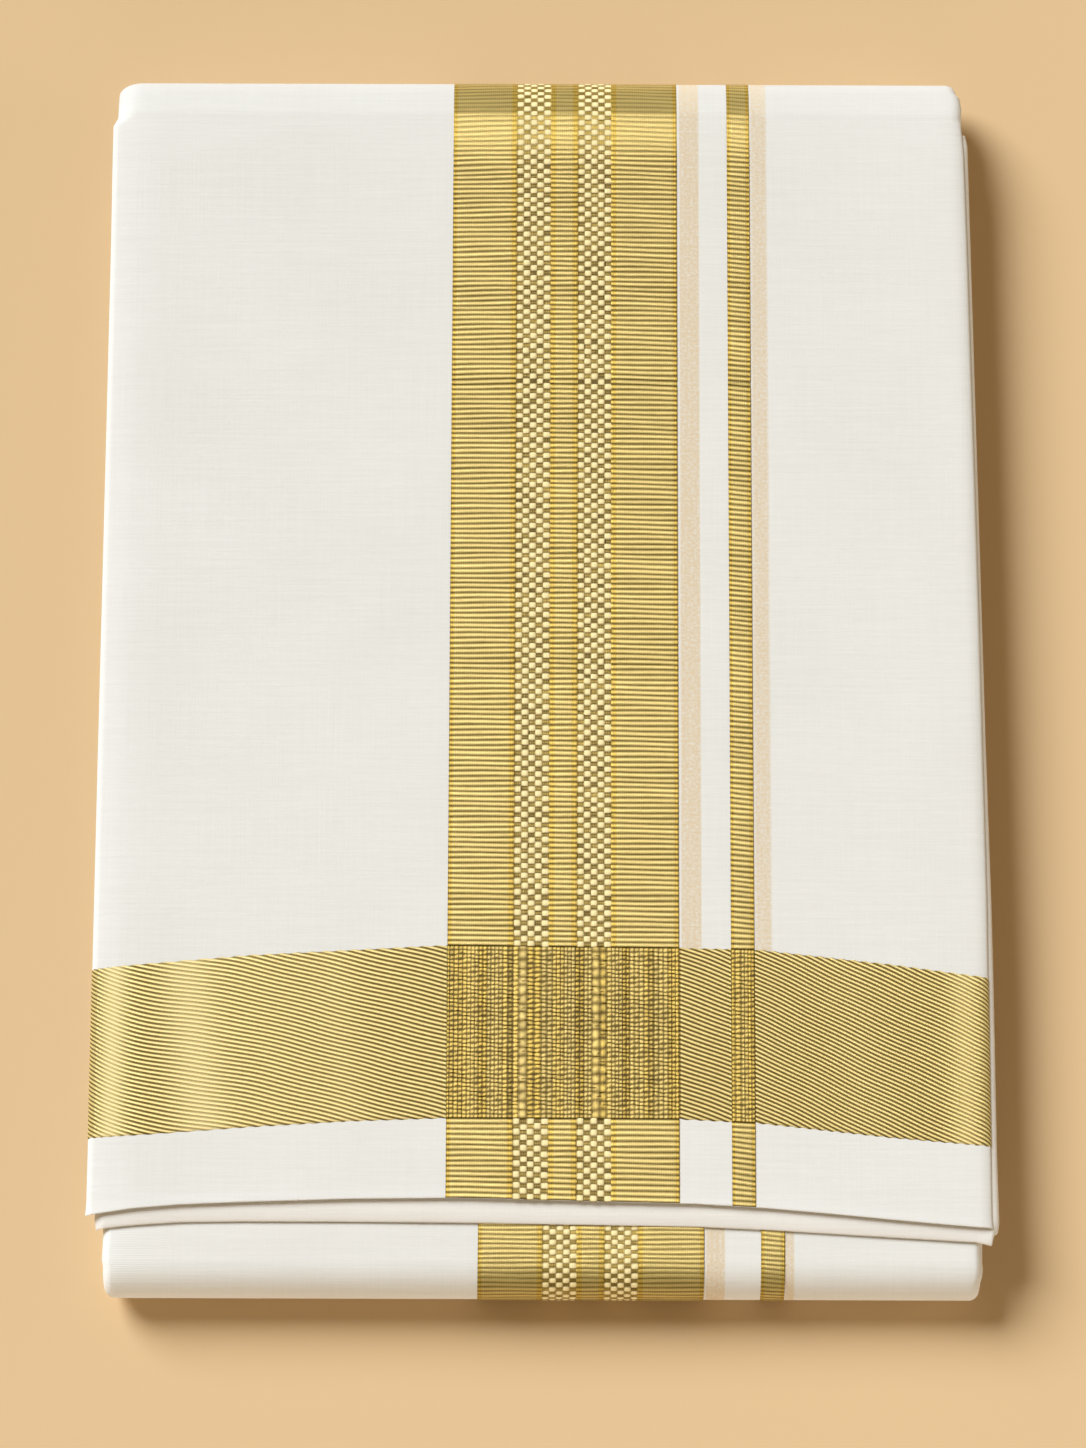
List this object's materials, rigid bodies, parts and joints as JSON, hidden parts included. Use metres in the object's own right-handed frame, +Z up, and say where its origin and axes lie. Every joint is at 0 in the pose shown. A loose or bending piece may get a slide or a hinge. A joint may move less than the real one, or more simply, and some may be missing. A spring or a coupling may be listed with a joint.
{
  "type": "folded dhoti cloth",
  "caption": "Off-white cotton dhoti with woven gold borders, folded into a flat rectangular packet that lies on a surface.",
  "frame": {"origin": "on the resting surface, under the middle of the packet's bounding box", "axes": "+Z up; +Y from the flap's free edge and the near roll to the far fold; +X to the right, towards the narrow border"},
  "size_m": [0.2631, 0.3732, 0.0195],
  "materials": {
    "cotton": "fine plain-woven cotton, matt, with woven gold-thread borders"
  },
  "bodies": {
    "root": {"top_flap": "cotton", "flap_under_ply": "cotton", "under_wrap": "cotton", "fold_core": "cotton"}
  },
  "joints": []
}
